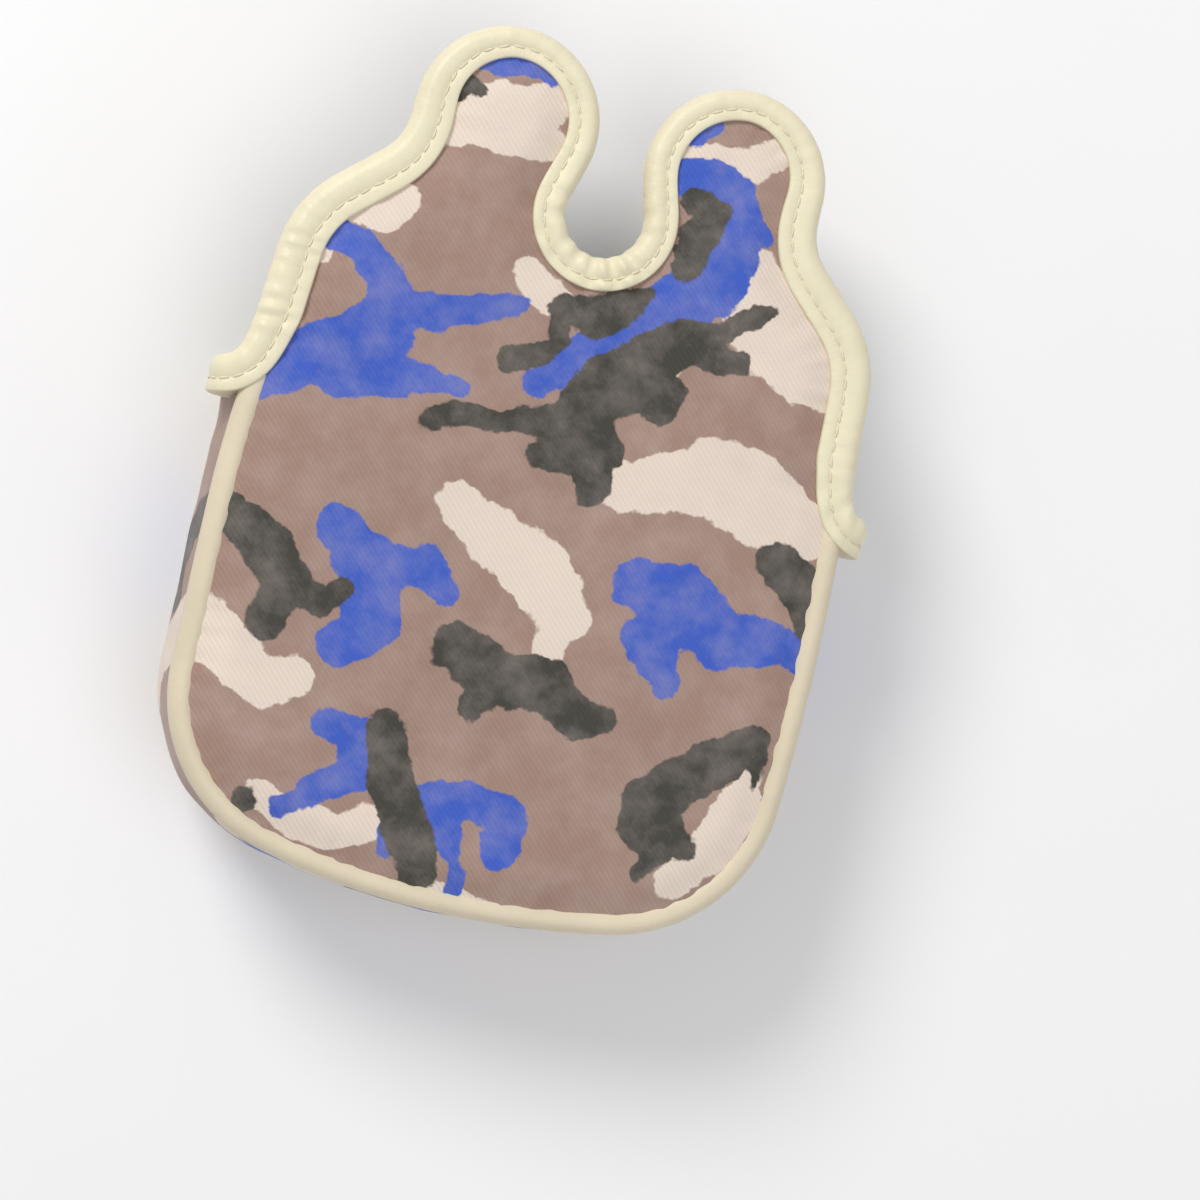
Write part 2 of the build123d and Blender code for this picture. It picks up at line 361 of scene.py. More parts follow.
def aboutMiddle(tree, value, middle, strength, clamp=False):
    # a value measured from its middle, then made stronger or weaker
    return times(tree, mathNode(tree, "SUBTRACT", value, middle), strength, clamp)


def mixColours(tree, factor, a, b, blend="MIX"):
    return addNode(tree, "ShaderNodeMix", {0: factor, 6: a, 7: b}, 2, data_type="RGBA", blend_type=blend)


def noiseNode(tree, vector, scale, detail=2.0, roughness=0.5):
    inputs = {"Vector": vector, "Scale": scale, "Detail": detail, "Roughness": roughness}
    return addNode(tree, "ShaderNodeTexNoise", inputs, "Fac")


def clothMap(tree):
    return addNode(tree, "ShaderNodeUVMap", uv_map="cloth")


def objectPlace(tree):
    return addNode(tree, "ShaderNodeTexCoord", output="Object")


def stretchedMap(tree, vector, scale):
    return addNode(tree, "ShaderNodeMapping", {"Vector": vector, "Scale": scale})


def finishMaterial(tree, shader, colour, height, strength, depth, roughness=None):
    tree.links.new(colour, shader.inputs["Base Color"])
    bump = addNode(tree, "ShaderNodeBump", {"Height": height, "Strength": strength, "Distance": depth})
    tree.links.new(bump, shader.inputs["Normal"])
    if roughness is not None:
        tree.links.new(roughness, shader.inputs["Roughness"])


printInks = {
    "ground": srgb(158, 130, 118),
    "cream": srgb(226, 211, 198),
    "blue": srgb(60, 92, 190),
    "charcoal": srgb(66, 64, 58),
    "chalk": srgb(206, 190, 184),
}
twillSizes = {
    "pitch": 0.9,
    "acrossTwill": 1.9,  # how much finer the threads across the twill are
    "wobble": 5.0,  # how far noise moves the edges of the inks, in millimetres
    "jag": 0.5,
    "edgeSoftness": 0.22,
    "weaveShade": 0.035,
    "fading": 0.16,
    "chalk": 0.7,
    "relief": 0.00012,
}


def printedTwill():
    # four inks on a fine diagonal weave: each ink covers where its field is above zero
    material, tree, shader = newMaterial("printedTwill", 0.72, 0.3, 0.25, 0.4)
    cloth = clothMap(tree)
    across, along, _ = addNode(tree, "ShaderNodeSeparateXYZ", {0: cloth}).node.outputs
    wobble = aboutMiddle(tree, noiseNode(tree, cloth, 1.6, 3.0, 0.55), 0.5, twillSizes["wobble"])
    jag = aboutMiddle(tree, noiseNode(tree, cloth, 11.0, 1.0), 0.5, twillSizes["jag"])
    edge = plus(tree, wobble, jag)
    soft = twillSizes["edgeSoftness"]
    colour = printInks["ground"]
    for ink in ("cream", "blue", "charcoal"):
        field = addNode(tree, "ShaderNodeAttribute", output="Fac", attribute_name=ink)
        inputs = {"Value": plus(tree, field, edge), "From Min": -soft, "From Max": soft}
        cover = addNode(tree, "ShaderNodeMapRange", inputs)
        colour = mixColours(tree, cover, colour, printInks[ink])
    turns = 2 * pi * clothUnit / twillSizes["pitch"]
    uphill = times(tree, plus(tree, across, along), turns * 0.7071)
    downhill = times(tree, mathNode(tree, "SUBTRACT", across, along), turns * twillSizes["acrossTwill"])
    threads = times(tree, mathNode(tree, "SINE", downhill), 0.45)
    weave = plus(tree, mathNode(tree, "SINE", uphill), threads)
    faded = times(tree, noiseNode(tree, cloth, 0.5), twillSizes["fading"])
    shade = plus(tree, plus(tree, times(tree, weave, twillSizes["weaveShade"]), faded), 0.92)
    chalk = aboutMiddle(tree, noiseNode(tree, cloth, 1.1, 5.0, 0.65), 0.4, twillSizes["chalk"], True)
    colour = mixColours(tree, chalk, colour, printInks["chalk"])
    shaded = addNode(tree, "ShaderNodeCombineColor", {i: shade for i in range(3)})
    colour = mixColours(tree, 1.0, colour, shaded, "MULTIPLY")
    height = plus(tree, weave, times(tree, noiseNode(tree, cloth, 90.0), 0.8))
    finishMaterial(tree, shader, colour, height, 0.35, twillSizes["relief"])
    return material


def coatedTape(name, colour, gloss, creases, followsCloth=True):
    # smooth coated tape: fine grain, creases, and a little grime in patches
    material, tree, shader = newMaterial(name, gloss, 0.45)
    if followsCloth:
        cloth = clothMap(tree)
    else:
        cloth = stretchedMap(tree, objectPlace(tree), (100, 100, 100))
    grain = addNode(tree, "ShaderNodeTexVoronoi", {"Vector": cloth, "Scale": 22.0}, feature="DISTANCE_TO_EDGE")
    grain = times(tree, grain, 1.2, True)
    crease = noiseNode(tree, stretchedMap(tree, cloth, creases), 1.0, 4.0, 0.6)
    tone = noiseNode(tree, cloth, 0.8, 3.0)
    dark = tuple(c * 0.80 for c in colour[:3]) + (1,)
    light = tuple(min(1, c * 1.04) for c in colour[:3]) + (1,)
    mixed = mixColours(tree, plus(tree, times(tree, tone, 0.8), 0.35, True), dark, light)
    height = plus(tree, times(tree, grain, 0.25), crease)
    rough = plus(tree, times(tree, tone, 0.2), gloss - 0.1)
    finishMaterial(tree, shader, mixed, height, 0.5, 0.0003, rough)
    return material


def plushPile():
    # short brushed pile: tufts that lean a little in patches
    material, tree, shader = newMaterial("plushPile", 0.95, 0.15, 0.9, 0.35)
    shader.inputs["Sheen Tint"].default_value = srgb(150, 155, 170)
    cloth = clothMap(tree)
    tuft = noiseNode(tree, stretchedMap(tree, cloth, (26, 14, 20)), 1.0, 2.0, 0.7)
    patch = noiseNode(tree, cloth, 0.9, 3.0)
    pale = plus(tree, times(tree, tuft, 0.6), times(tree, patch, 0.4))
    colour = mixColours(tree, pale, srgb(30, 31, 36), srgb(84, 86, 96))
    finishMaterial(tree, shader, colour, plus(tree, tuft, patch), 0.9, 0.0006)
    return material


def threadMaterial():
    # twisted ply: fine bands along the thread
    material, tree, shader = newMaterial("thread", 0.55, 0.4, 0.2)
    inputs = {"Vector": objectPlace(tree), "Scale": 900.0, "Distortion": 1.0}
    ply = addNode(tree, "ShaderNodeTexWave", inputs, "Fac")
    colour = mixColours(tree, ply, srgb(205, 196, 168), srgb(236, 230, 208))
    finishMaterial(tree, shader, colour, ply, 0.3, 0.0001)
    return material


def padMaterial(name, dark, light, scale):
    # hook or loop tape: rows of hooks, or a tangled nap
    material, tree, shader = newMaterial(name, 0.8, 0.3, 0.3)
    place = objectPlace(tree)
    cells = addNode(tree, "ShaderNodeTexVoronoi", {"Vector": place, "Scale": scale}, "Distance")
    nap = noiseNode(tree, place, scale * 0.6, 3.0)
    colour = mixColours(tree, times(tree, cells, nap), light, dark)
    finishMaterial(tree, shader, colour, mathNode(tree, "SUBTRACT", 1.0, cells), 0.8, 0.0004)
    return material


print("mixing the materials")
twill = printedTwill()
bindingTape = coatedTape("bindingTape", srgb(229, 221, 192), 0.44, (2.2, 9, 1))
pipingLeather = coatedTape("pipingLeather", srgb(217, 205, 180), 0.46, (3, 3, 3), False)
plush = plushPile()
thread = threadMaterial()
hookTape = padMaterial("hookTape", srgb(14, 14, 16), srgb(70, 70, 74), 900)
loopTape = padMaterial("loopTape", srgb(26, 26, 30), srgb(82, 82, 88), 500)


# the print's strokes, as chains of round dabs on the open cover: (x, y, radius)
printStrokes = {
    "cream": [
        [(-36, 66, 4), (-28, 70, 5), (-20, 72, 5), (-14, 76, 4)], [(-35, 64, 3), (-20, 66, 4), (-12, 66, 3)],
        [(-50, 45, 4), (-43, 45, 4), (-39, 48, 3)], [(-53, 34, 2)], [(-12, 41, 3), (-9, 38, 4), (-4, 36, 3)],
        [(14, 71, 3), (20, 72, 3.5), (27, 73, 3.5), (31, 77, 3)],
        [(32, 54, 4), (35, 48, 7), (42, 44, 8), (47, 38, 6)],
        [(31, 42, 4), (38, 38, 5), (46, 34, 5), (54, 33, 4)], [(20, 30, 2)],
        [(16, 4, 5), (25, 7, 6), (35, 11, 8), (44, 8, 9), (54, 4, 6)],
        [(-38, -73, 3), (-30, -76, 4), (-22, -76, 4), (-16, -73, 4)], [(-2, -83, 2), (10, -84, 2)],
        [(46, -70, 4), (52, -62, 5), (56, -52, 5), (57, -44, 2)],
        [(-62, -40, 5), (-54, -45, 6), (-44, -51, 5), (-37, -48, 4)],
        [(-15, -7, 4), (-6, -12, 6), (4, -16, 7), (12, -24, 5), (10, -31, 3)],
    ],
    "blue": [
        [(-31, 78, 1.5), (-26, 80, 2.5), (-20, 81, 2.5), (-17, 79, 2)],
        [(-52, 39, 3), (-46, 37, 3.5), (-40, 33, 4), (-36, 28, 4.5)],
        [(-36, 28, 4), (-28, 28, 3.5), (-20, 31, 3), (-12, 34, 2)],
        [(-37, 25, 5), (-44, 18, 6), (-51, 13, 6), (-59, 8, 5)],
        [(-36, 21, 5), (-44, 12, 5), (-34, 14, 4.5), (-26, 15, 2.5), (-20, 15, 2)],
        [(22, 68, 4), (27, 60, 5), (25, 51, 6), (20, 43, 7), (12, 36, 6), (3, 28, 4.5), (-5, 20, 3)],
        [(28, 54, 4), (26, 45, 4)], [(13, 67, 3.5), (19, 69, 3.5), (24, 67, 4)], [(28, 62, 3), (32, 59, 2)],
        [(13, 76, 2.5), (16, 79, 2)],
        [(-29, -56, 3), (-22, -57, 4), (-21, -64, 4), (-28, -69, 3), (-34, -74, 2)],
        [(-12, -78, 1.5), (-13, -72, 1.5)], [(-5, -66, 4), (3, -64, 4), (10, -65, 4)],
        [(11, -72, 4), (10, -66, 4)], [(-2, -68, 4), (2, -76, 2), (4, -82, 1.5)],
        [(24, -14, 5), (34, -15, 7), (44, -21, 6), (54, -18, 4), (60, -20, 3)],
        [(34, -16, 5), (29, -25, 5), (35, -32, 3)],
        [(-36, -18, 5), (-28, -24, 6), (-26, -34, 6), (-31, -41, 4)],
        [(-28, -24, 5), (-18, -21, 4), (-12, -25, 2.5)],
    ],
    "charcoal": [
        [(-35, 72, 2), (-33, 74, 2), (-30, 73, 1)], [(-12, 23, 2.5), (-7, 25, 2.5), (-3, 29, 2), (-4, 36, 2.5)],
        [(-4, 36, 2.5), (3, 35, 4), (8, 39, 4), (12, 43, 1.5)],
        [(-24, 8, 2.5), (-20, 10, 2.5), (-13, 10, 2), (-4, 12, 3), (4, 14, 5)],
        [(-1, 6, 3), (5, 7, 3.5), (11, 10, 4), (5, 16, 6), (8, 23, 6), (15, 30, 5), (21, 35, 4.5)],
        [(11, 3, 4), (7, 10, 4)], [(21, 35, 4.5), (28, 39, 2.5), (34, 44, 2), (38, 46, 0.8)],
        [(22, 35, 3), (29, 33, 3), (33, 34, 2)], [(9, 22, 5), (16, 23, 4.5), (20, 20, 2.5), (22, 25, 2.5)],
        [(17, 63, 3), (22, 62, 2.5), (19, 56, 4), (18, 50, 3)], [(-41, -75, 2.5)],
        [(-17, -54, 4), (-14, -64, 4.5), (-9, -72, 5), (-4, -80, 4)],
        [(56, -38, 3), (50, -44, 5), (43, -50, 5), (38, -56, 6)], [(37, -60, 5), (41, -66, 3), (39, -70, 1.5)],
        [(43, -60, 4), (48, -64, 2)], [(57, -42, 2.5), (58, -48, 1)],
        [(-58, -20, 4), (-50, -24, 5), (-43, -31, 5), (-46, -39, 4)],
        [(-43, -31, 4), (-36, -33, 3), (-32, -29, 2)],
        [(-8, -35, 5), (2, -39, 6), (12, -38, 5), (19, -44, 4), (25, -42, 2.5)], [(2, -39, 5), (-2, -46, 3)],
        [(50, -3, 4), (57, -6, 5), (60, -13, 3)],
    ],
}


def strokeField(points, strokes):
    # how far inside the nearest stroke each point lies, in millimetres; outside is negative
    field = np.full(len(points), -20.0)
    for stroke in strokes:
        dabs = np.array(stroke + stroke[-1:] if len(stroke) == 1 else stroke, float)
        for (x1, y1, r1), (x2, y2, r2) in zip(dabs[:-1], dabs[1:]):
            run = np.array([x2 - x1, y2 - y1])
            reach = max(run @ run, 1e-6)
            t = np.clip(((points - (x1, y1)) @ run) / reach, 0, 1)
            away = np.linalg.norm(points - (x1, y1) - t[:, None] * run, axis=1)
            field = np.maximum(field, r1 + t * (r2 - r1) - away)
    return field


def printFields(points):
    return {ink: strokeField(points, strokes) for ink, strokes in printStrokes.items()}


flapSizes = {
    "tapeWidths": [8.7, 8.6, 6.3, 6.4, 6.7],  # from the mouth over the shoulder, tip and inner side to the notch
    "tapeShares": [0, 0.35, 0.62, 0.8, 1],
    "crown": 0.8,
    "rollAtEdge": 1.2,
    "pucker": 0.5,
    "puckerPitch": 6.5,
    "puckerReach": 4.5,
    "unevenness": 0.9,
    "lumpSize": 46,
    "underTab": 7,  # the turned tape covers the corner of the mouth
}
padSizes = {
    "gridStep": 1.0,
    "underSeam": 2.4,  # how far a pad runs on under its tape or piping
    "roll": 7,  # how far in from its tape or piping a pad is fully crowned
    "seamDepth": 4.6,
    "liningEdge": 0.9,
    "liningCrown": 1.1,
    "fill": 0.35,
}
mouthSizes = {
    "tapeWidth": 7.4,
    "scoopRadius": 16,
    "scoopAhead": 1.0,
    "lipRadius": 8,
    "cornerX": 57,  # where the tape leaves the crown panel and turns up the end of the gusset
    "cornerZ": 11,
    "tabZ": 28,
}
half = (len(flapLine) - 1) // 2
shareOfHalf = np.concatenate([np.arange(half + 1), np.arange(half)[::-1]]) / half
flapWidths = np.interp(shareOfHalf, flapSizes["tapeShares"], flapSizes["tapeWidths"])


def mouthEdge(halfWidth):
    # right half of the crown panel's mouth edge: scoop, rounded lip, then straight
    r, lip = mouthSizes["scoopRadius"], mouthSizes["lipRadius"]
    centreY = mouthY + mouthSizes["scoopAhead"]
    lipY = mouthY - lip
    lipX = ((r + lip) ** 2 - (centreY - lipY) ** 2) ** 0.5
    turn = np.arctan2(lipY - centreY, lipX)
    scoop = [(r * cos(a), centreY + r * sin(a)) for a in np.linspace(-pi / 2, turn, 40)]
    rounded = [(lipX + lip * cos(a), lipY + lip * sin(a)) for a in np.linspace(turn + pi, pi / 2, 20)]
    edge = np.array(scoop + rounded[1:] + [(halfWidth, mouthY)])
    return resample(edge, outlineSizes["step"])


def gridOf(step):
    # a grid over the whole cover, with one row on the line where the flap is cut in lengths
    across = np.arange(-72, 72.01, step)
    along = midBridgeY + np.arange(-125, 66) * step
    x, y = np.meshgrid(across, along)
    return np.column_stack([x.ravel(), y.ravel()]), len(along), len(across)


def riseOf(depth):
    # from 0 under the tape to 1 where the pad is fully crowned
    return smoothstep(-padSizes["underSeam"], padSizes["roll"], depth)


def padShell(points, rows, columns, keep, upper, lower):
    # a closed pad on a grid: its upper and lower faces where keep holds, and walls round the edge
    cells = np.array(gridFaces(rows, columns))
    cells = cells[keep[cells].all(1)]
    used, renumbered = np.unique(cells, return_inverse=True)
    cells = renumbered.reshape(-1, 4)
    count = len(used)
    edges = {}  # the edges that only one cell has, in order
    for cell in cells.tolist():
        for a, b in zip(cell, cell[1:] + cell[:1]):
            if (b, a) in edges:
                del edges[(b, a)]
            else:
                edges[(a, b)] = True
    walls = [(b, a, a + count, b + count) for a, b in edges]
    faces = cells.tolist() + (cells[:, ::-1] + count).tolist() + walls
    kinds = [0] * len(cells) + [1] * (len(cells) + len(walls))
    plan = points[used]
    solid = np.vstack([np.column_stack([plan, upper[used]]), np.column_stack([plan, lower[used]])])
    return solid, faces, kinds, used


print("padding the sole panel, bridge and prongs")
grid, rows, columns = gridOf(padSizes["gridStep"])
flapAway, flapNearest = nearestOn(flapLine, grid)
pouchAway, pouchNearest = nearestOn(pouchLine, grid)
inFlap = flapAway - flapWidths[flapNearest]
inPouch = pouchAway - padSizes["seamDepth"]
underTab = flapSizes["underTab"] * smoothstep(mouthY + 5, mouthY - 4, grid[:, 1])
depth = np.where(grid[:, 1] > mouthY + 8, inFlap, np.minimum(inFlap + underTab, inPouch))
keep = isInside(coverRing, grid) & (depth > -padSizes["underSeam"])
rise = riseOf(depth)
step = outlineSizes["step"]
seamRun = np.where(inFlap < inPouch, flapNearest * step, 400 + pouchNearest * step)[:, None]
gathers = waves(5, seamRun, flapSizes["puckerPitch"])
gathers = gathers * np.exp(-np.clip(depth, 0, 50) / flapSizes["puckerReach"])
uneven = waves(11, grid, flapSizes["lumpSize"]) * rise
upper = top - flapSizes["rollAtEdge"] + (flapSizes["rollAtEdge"] + flapSizes["crown"]) * rise
upper += flapSizes["unevenness"] * uneven
upper += flapSizes["pucker"] * gathers * smoothstep(-padSizes["underSeam"], 0.5, depth)
lower = top - wall + padSizes["liningEdge"] - padSizes["liningCrown"] * rise
shell, faces, kinds, used = padShell(grid, rows, columns, keep, upper, lower)
fields = {ink: np.tile(values[used], 2) for ink, values in printFields(grid).items()}
solePads = makeLengths(
    {"flap": "solePad", "leftProng": "leftProngPad", "rightProng": "rightProngPad"},
    shell, faces, [twill, plush], np.tile(grid[used], (2, 1)), fields, kinds,
)
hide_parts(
    "sole_panel_fabric", "sole_panel_foam", "sole_panel_lining",
    "bridge_fabric", "bridge_foam", "bridge_lining",
)
for side in ("left", "right"):
    layers = [f"{side}_prong_{layer}" for layer in ("fabric", "foam", "lining")]
    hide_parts(*layers)

print("padding the crown panel")
crownSizes = {
    "edgeLift": 1.3,
    "crown": 0.9,
    "unevenness": 0.15,
    "liningUnevenness": 0.3,
    "lumpSize": 40,
    "printMove": (4, -70),  # the underside is cut from another part of the same print
}
crownEdge = mirrored(mouthEdge(70)[::-1])
mouthAway, _ = nearestOn(crownEdge, grid)
mouthLine = np.interp(grid[:, 0], crownEdge[::-1, 0], crownEdge[::-1, 1])
depth = np.minimum(mouthAway - mouthSizes["tapeWidth"], inPouch)
keep = isInside(np.vstack([pouchLine, [(0, mouthY)]]), grid)
keep &= (depth > -padSizes["underSeam"]) & (grid[:, 1] < mouthLine)
rise = riseOf(depth)
lumps = [waves(seed, grid, crownSizes["lumpSize"]) for seed in (21, 23)]
outer = crownSizes["edgeLift"] - crownSizes["crown"] * rise
outer += crownSizes["unevenness"] * (1 + lumps[0]) * rise
inner = wall - padSizes["liningEdge"] + padSizes["liningCrown"] * rise
inner += crownSizes["liningUnevenness"] * lumps[1] * rise
shell, faces, kinds, used = padShell(grid, rows, columns, keep, inner, outer)
kinds = [1 - kind for kind in kinds]
crownPrint = printFields(grid * [1, -1] + crownSizes["printMove"])
fields = {ink: np.tile(values[used], 2) for ink, values in crownPrint.items()}
crownPad = makeMesh(
    "crownPad", shell, faces, [twill, plush], np.tile(grid[used] * [-1, 1], (2, 1)), fields, kinds,
)
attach(crownPad, "pouch")
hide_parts("crown_panel_fabric", "crown_panel_foam", "crown_panel_lining")

print("padding the gusset")
gussetSizes = {
    "bulge": 2.7,
    "bulgeEdge": 3,  # how far in from the top and the bottom the bulge begins
    "flareAtMouth": 1.5,
    "flareLength": 13,
    "liningFlare": 0.6,
    "inset": 1.0,
    "mouthGap": 2.5,
    "hem": 2.2,
    "liningHem": 1,
    "wrinkle": 0.3,
    "wrinklePitch": 17,
    "fill": 0.45,
}


def bulgeAt(z):
    edge = gussetSizes["bulgeEdge"]
    return np.sin(pi * np.clip((z - edge) / (top - 2 * edge), 0, 1))


gussetEnd = mouthY - gussetSizes["mouthGap"]
band = pouchLine[pouchLine[:, 1] < gussetEnd]
bandNormals = leftNormals(band)
bandRun = np.concatenate([[0], np.cumsum(np.linalg.norm(np.diff(band, axis=0), axis=1))])
flare = 1 - smoothstep(0, gussetSizes["flareLength"], gussetEnd - band[:, 1])
flare = (gussetSizes["flareAtMouth"] * flare)[:, None]
hem, liningHem = gussetSizes["hem"], gussetSizes["liningHem"]
outerZ = np.linspace(hem, top - hem, 33)
innerZ = np.linspace(top - wall + liningHem, wall - liningHem, 25)
crest = bulgeAt(outerZ)
outerOut = -gussetSizes["inset"] + gussetSizes["bulge"] * crest + flare * crest**0.4
bandGrid = np.stack(np.meshgrid(bandRun, outerZ, indexing="ij"), -1)
wrinkles = waves(31, bandGrid.reshape(-1, 2) * [1, 0.45], gussetSizes["wrinklePitch"])
wrinkles = gussetSizes["wrinkle"] * wrinkles.reshape(outerOut.shape)
outerOut = outerOut + wrinkles * np.sin(pi * (outerZ - hem) / (top - 2 * hem))
innerOut = -gussetSizes["inset"] - wall + gussetSizes["liningFlare"] * flare * bulgeAt(innerZ)
out = np.hstack([outerOut, innerOut])
heights = np.concatenate([outerZ, innerZ])
gusset = np.dstack([
    band[:, None, 0] + bandNormals[:, None, 0] * out,
    band[:, None, 1] + bandNormals[:, None, 1] * out,
    np.broadcast_to(heights, out.shape),
]).reshape(-1, 3)
faces = stripFaces(len(band), len(heights))
kinds = [0 if face[0] % len(heights) < len(outerZ) - 1 else 1 for face in faces]
around = np.concatenate([outerZ, 2 * top - innerZ])
gussetMap = np.stack(np.meshgrid(bandRun, around, indexing="ij"), -1).reshape(-1, 2)
# the print carries on over the seam
overSeam = band[:, None, :] - bandNormals[:, None, :] * (top - heights)[None, :, None]
fields = printFields(overSeam.reshape(-1, 2))
gussetPad = makeMesh("gussetPad", gusset, faces, [twill, plush], gussetMap, fields, kinds)
bm = bmesh.new()
bm.from_mesh(gussetPad.data)
bmesh.ops.recalc_face_normals(bm, faces=bm.faces)
bm.to_mesh(gussetPad.data)
bm.free()
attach(gussetPad, "pouch")
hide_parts("gusset_fabric", "gusset_foam", "gusset_lining")

tapeSizes = {
    "step": 0.6,
    "groove": 0.66,  # where the seam lies across the tape, as a share of its width from the folded edge
    "grooveDepth": 0.08,
    "wrinkle": 0.2,
    "wrinklePitch": 8.0,
    "gather": 1.3,  # at the bottom of the notch
    "tabGather": 0.5,
    "shoulderGather": 0.5,
    "gatherPitch": 3.0,
    "tabWidth": 8.0,
    "mapWidth": 8,  # the width that the cloth map gives the tape
    "joinLength": 4,  # the two ends of the tape meet level
    "lowest": 0.05,  # the tape is flat where it lies on the table
}
grooveHeight = halfWall - tapeSizes["grooveDepth"]
# half of the tape's cross-section: share of its width from the folded edge, and rise from the wall's face
upperProfile = [
    (-0.02, -halfWall), (0, -1.9), (0.05, -0.75), (0.15, 0.2), (0.3, 0.6), (0.45, 0.55), (0.57, 0.28), (0.63, 0.02),
    (tapeSizes["groove"], -tapeSizes["grooveDepth"]),
    (0.69, 0.02), (0.74, 0.2), (0.85, 0.28), (0.96, 0.18), (1, -0.1), (1, -0.9),
]
tapeProfile = [(share, halfWall + rise) for share, rise in upperProfile[::-1]]
tapeProfile += [(share, -height) for share, height in tapeProfile[-2::-1]]


def tapeStations():
    # right half of the tape's run: edge points, directions into the cloth and off the wall, and widths
    places, inwards, faceways, widths = [], [], [], []

    def add(place, inward, faceway, width):
        places.append(place)
        inwards.append(inward)
        faceways.append(faceway)
        widths.append(width)

    width = mouthSizes["tapeWidth"]
    cornerX, cornerZ = mouthSizes["cornerX"], mouthSizes["cornerZ"]
    edge = mouthEdge(cornerX)
    for (x, y), (nx, ny) in zip(edge, leftNormals(edge)):
        add((x, y, halfWall), (-nx, -ny, 0), (0, 0, -1), width)
    sideX = pouchLine[0, 0] - gussetSizes["inset"] - halfWall

    def gussetX(z):
        crest = bulgeAt(z)
        return sideX + gussetSizes["bulge"] * crest + gussetSizes["flareAtMouth"] * crest**0.4

    def corner(start, startControl, endControl, end, first, last):
        turnFrom = Matrix(np.column_stack(first).tolist()).to_quaternion()
        turnTo = Matrix(np.column_stack(last).tolist()).to_quaternion()
        a, b, c, d = (np.array(p, float) for p in (start, startControl, endControl, end))
        for t in np.linspace(0, 1, 42)[1:-1]:
            place = (1 - t)**3 * a + 3 * (1 - t)**2 * t * b + 3 * (1 - t) * t * t * c + t**3 * d
            turned = np.array(turnFrom.slerp(turnTo, float(smoothstep(0, 1, t))).to_matrix())
            add(tuple(place), tuple(turned[:, 1]), tuple(turned[:, 2]), width)

    sideways, upwards = (1, 0, 0), (0, 0, 1)
    back, down, left = (0, -1, 0), (0, 0, -1), (-1, 0, 0)
    corner(
        (cornerX, mouthY, halfWall), (cornerX + 4, mouthY, halfWall - 0.3),
        (gussetX(7) - 0.8, mouthY, 4), (gussetX(cornerZ), mouthY, cornerZ),
        (sideways, back, down), (upwards, back, sideways),
    )
    for z in np.arange(cornerZ, mouthSizes["tabZ"] + 0.01, tapeSizes["step"]):
        add((gussetX(z), mouthY, z), back, sideways, width)
    joins = np.argmax(flapLine[:, 1] > mouthY + 9)
    x, y = flapLine[joins]
    face, tabZ = top - halfWall, mouthSizes["tabZ"] + 0.5
    # the tape folds outwards over the corner of the mouth, then turns on the flat to run up the flap
    tab = [
        ((gussetX(tabZ), mouthY, tabZ), back, sideways),
        ((x + 3.0, mouthY + 0.1, top - 9), back, (0.97, 0, 0.25)),
        ((x + 3.2, mouthY + 0.4, top - 5.4), back, (0.75, 0, 0.66)),
        ((x + 2.0, mouthY + 1.2, face - 0.2), (-0.25, -0.97, 0), (0.2, 0, 0.98)),
        ((x + 0.9, mouthY + 3.4, face), (-0.7, -0.7, 0), upwards),
        ((x, y, face), left, upwards),
    ]
    for start, end in zip(tab[:-1], tab[1:]):
        (a, inA, faceA), (b, inB, faceB) = ([np.array(part) for part in key] for key in (start, end))
        for t in np.arange(0, 1, 0.5 / np.linalg.norm(b - a)):
            inward, faceway = inA * (1 - t) + inB * t, faceA * (1 - t) + faceB * t
            add(a + t * (b - a), inward, faceway, tapeSizes["tabWidth"])
    normals = leftNormals(flapLine)
    for i in range(joins, half + 1):
        add((*flapLine[i], face), (*normals[i], 0), upwards, flapWidths[i])
    return [np.array(values, float) for values in (places, inwards, faceways, widths)]


print("running the binding tape round the mouth and the flap")
places, inwards, faceways, widths = tapeStations()
mirror = np.array([-1, 1, 1])
places, inwards, faceways = (np.vstack([v, v[-2::-1] * mirror]) for v in (places, inwards, faceways))
widths = np.concatenate([widths, widths[-2::-1]])
run = np.concatenate([[0], np.cumsum(np.linalg.norm(np.diff(places, axis=0), axis=1))])
even = np.linspace(0, run[-1], int(run[-1] / tapeSizes["step"]) + 1)


def evenly(values):
    values = values if values.ndim == 2 else values[:, None]
    spaced = [np.interp(even, run, values[:, i]) for i in range(values.shape[1])]
    return smoothed(np.column_stack(spaced), 5)


places, inwards, faceways, widths = (evenly(values) for values in (places, inwards, faceways, widths))
inwards /= np.linalg.norm(inwards, axis=1)[:, None]
faceways -= (faceways * inwards).sum(1)[:, None] * inwards
faceways /= np.linalg.norm(faceways, axis=1)[:, None]
toNotch = np.linalg.norm(places - [0, notchBottomY, top], axis=1)
toTabs = np.abs(places[:, 1] - (mouthY + 6)) + 2 * (places[:, 2] < 20)
toLeftShoulder = np.linalg.norm(places - [-60, 34, top], axis=1)
gather = tapeSizes["gather"] * (1 - smoothstep(6, 20, toNotch))
gather += tapeSizes["tabGather"] * (1 - smoothstep(4, 14, toTabs))
gather += tapeSizes["shoulderGather"] * (1 - smoothstep(6, 20, toLeftShoulder))
share, height = np.array(tapeProfile).T
profileGaps = np.hypot(np.diff(share) * tapeSizes["mapWidth"], np.diff(height))
profileRun = np.concatenate([[0], np.cumsum(profileGaps)])
lengthwise, crosswise = np.meshgrid(even, profileRun, indexing="ij")
onTape = np.column_stack([lengthwise.ravel(), crosswise.ravel()])
faint = waves(41, onTape * [1, 0.35], tapeSizes["wrinklePitch"]).reshape(lengthwise.shape)
